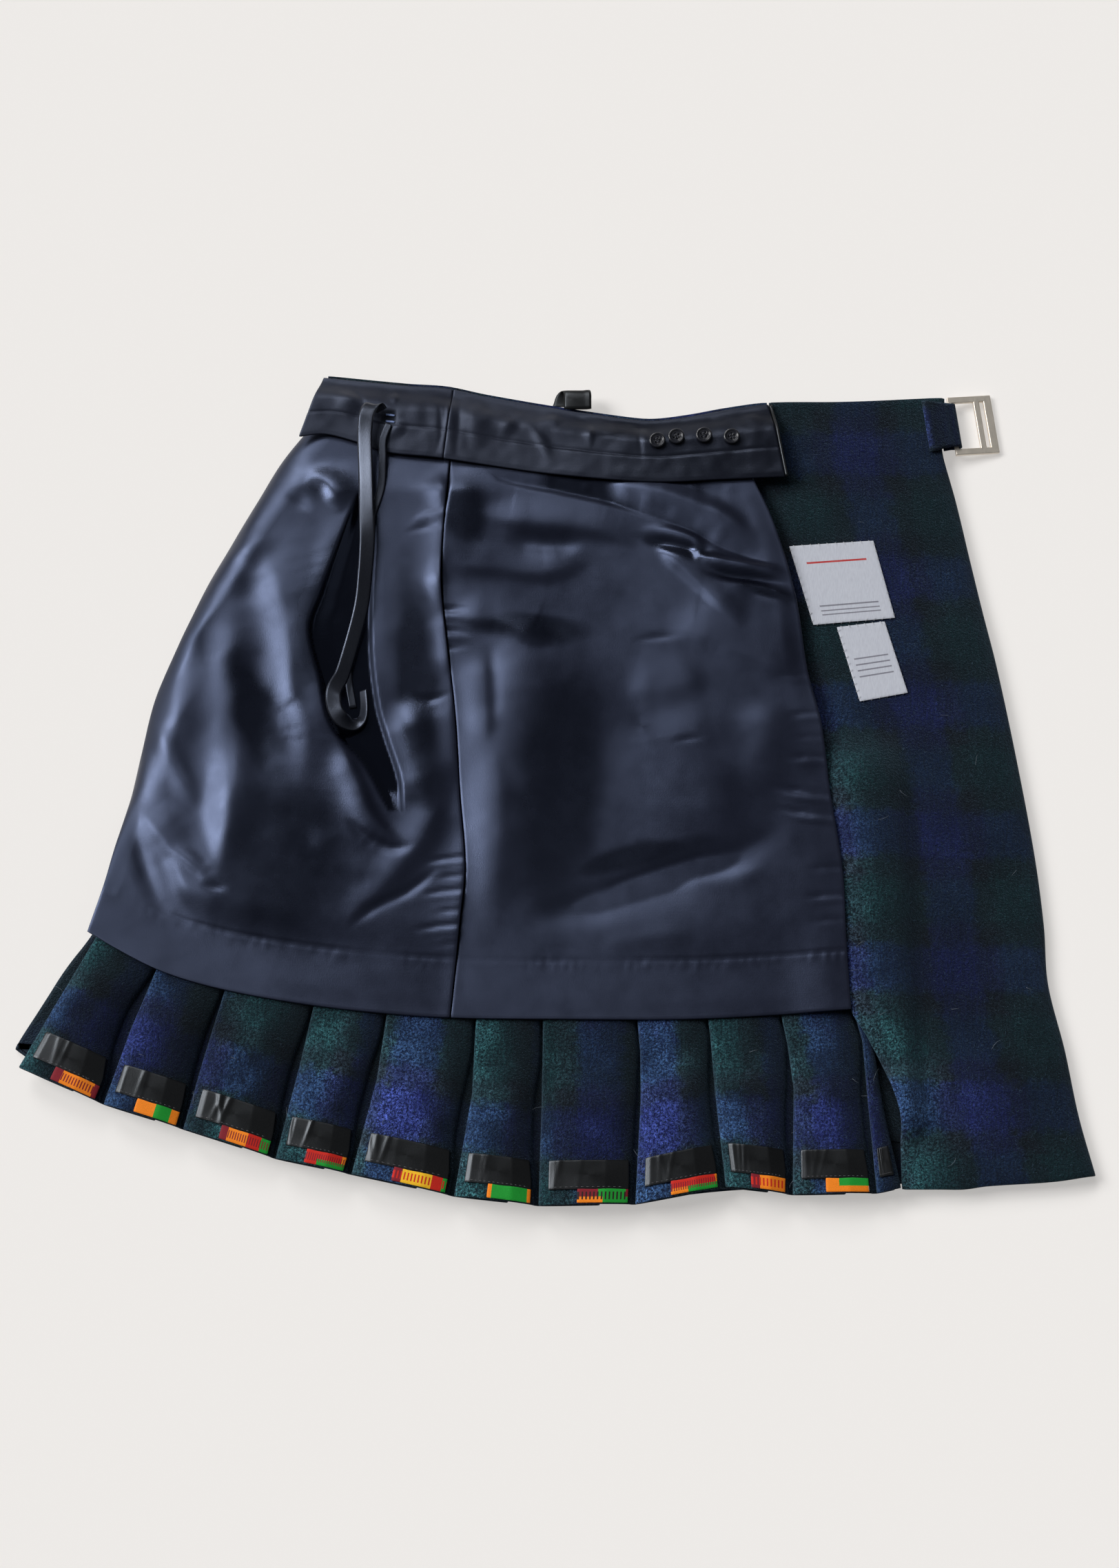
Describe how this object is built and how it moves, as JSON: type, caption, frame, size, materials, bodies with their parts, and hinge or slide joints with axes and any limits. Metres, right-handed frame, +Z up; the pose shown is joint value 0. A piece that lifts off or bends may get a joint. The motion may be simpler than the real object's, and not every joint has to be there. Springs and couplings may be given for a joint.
{
  "type": "scottish kilt, laid flat inside up",
  "caption": "Wool tartan kilt laid flat with its inside up: satin lining, pleated hem, waistband with buttons, apron, and a tab with a slide buckle.",
  "frame": {"origin": "centre of the bounding box at its bottom, on the surface the kilt lies on", "axes": "+X along the waistband towards the buckle, +Y from the hem to the waist, +Z up"},
  "size_m": [0.7026, 0.5724, 0.0341],
  "materials": {
    "tartan_wool": "brushed blue, green and black checked wool",
    "folded_wool": "dark brushed wool",
    "lining_satin": "dark navy satin",
    "facing_sateen": "black sateen",
    "tape_satin": "black satin tape",
    "ribbon_satin": "black satin ribbon",
    "buckle_metal": "pale satin metal",
    "button_plastic": "dark glossy",
    "label_weave": "white woven label",
    "printed_cotton": "orange, green and red printed cotton"
  },
  "bodies": {
    "kilt": {"apron": "tartan_wool", "belt_loop": "ribbon_satin", "button_1": "button_plastic", "button_2": "button_plastic", "button_3": "button_plastic", "button_4": "button_plastic", "facing_left": "facing_sateen", "facing_piping": "facing_sateen", "facing_right": "facing_sateen", "folded_back": "folded_wool", "hem_patch_01": "printed_cotton", "hem_patch_02": "printed_cotton", "hem_patch_03": "printed_cotton", "hem_patch_04": "printed_cotton", "hem_patch_05": "printed_cotton", "hem_patch_06": "printed_cotton", "hem_patch_07": "printed_cotton", "hem_patch_08": "printed_cotton", "hem_patch_09": "printed_cotton", "hem_patch_10": "printed_cotton", "hem_tape_01": "tape_satin", "hem_tape_02": "tape_satin", "hem_tape_03": "tape_satin", "hem_tape_04": "tape_satin", "hem_tape_05": "tape_satin", "hem_tape_06": "tape_satin", "hem_tape_07": "tape_satin", "hem_tape_08": "tape_satin", "hem_tape_09": "tape_satin", "hem_tape_10": "tape_satin", "hem_tape_11": "tape_satin", "label_large": "label_weave", "label_small": "label_weave", "lining_left": "lining_satin", "lining_right": "lining_satin", "pleats": "tartan_wool", "ribbon_loop": "ribbon_satin", "ribbon_rear": "ribbon_satin", "strap": "tartan_wool", "waist_wool": "tartan_wool"},
    "buckle_frame": {"buckle": "buckle_metal"}
  },
  "joints": [
    {"name": "buckle_swing", "type": "hinge", "parent": "kilt", "child": "buckle_frame", "pos_m": [0.27776, 0.25086, 0.0062], "axis": [0.1219, -0.9925, 0], "range_deg": [0, 110]}
  ]
}
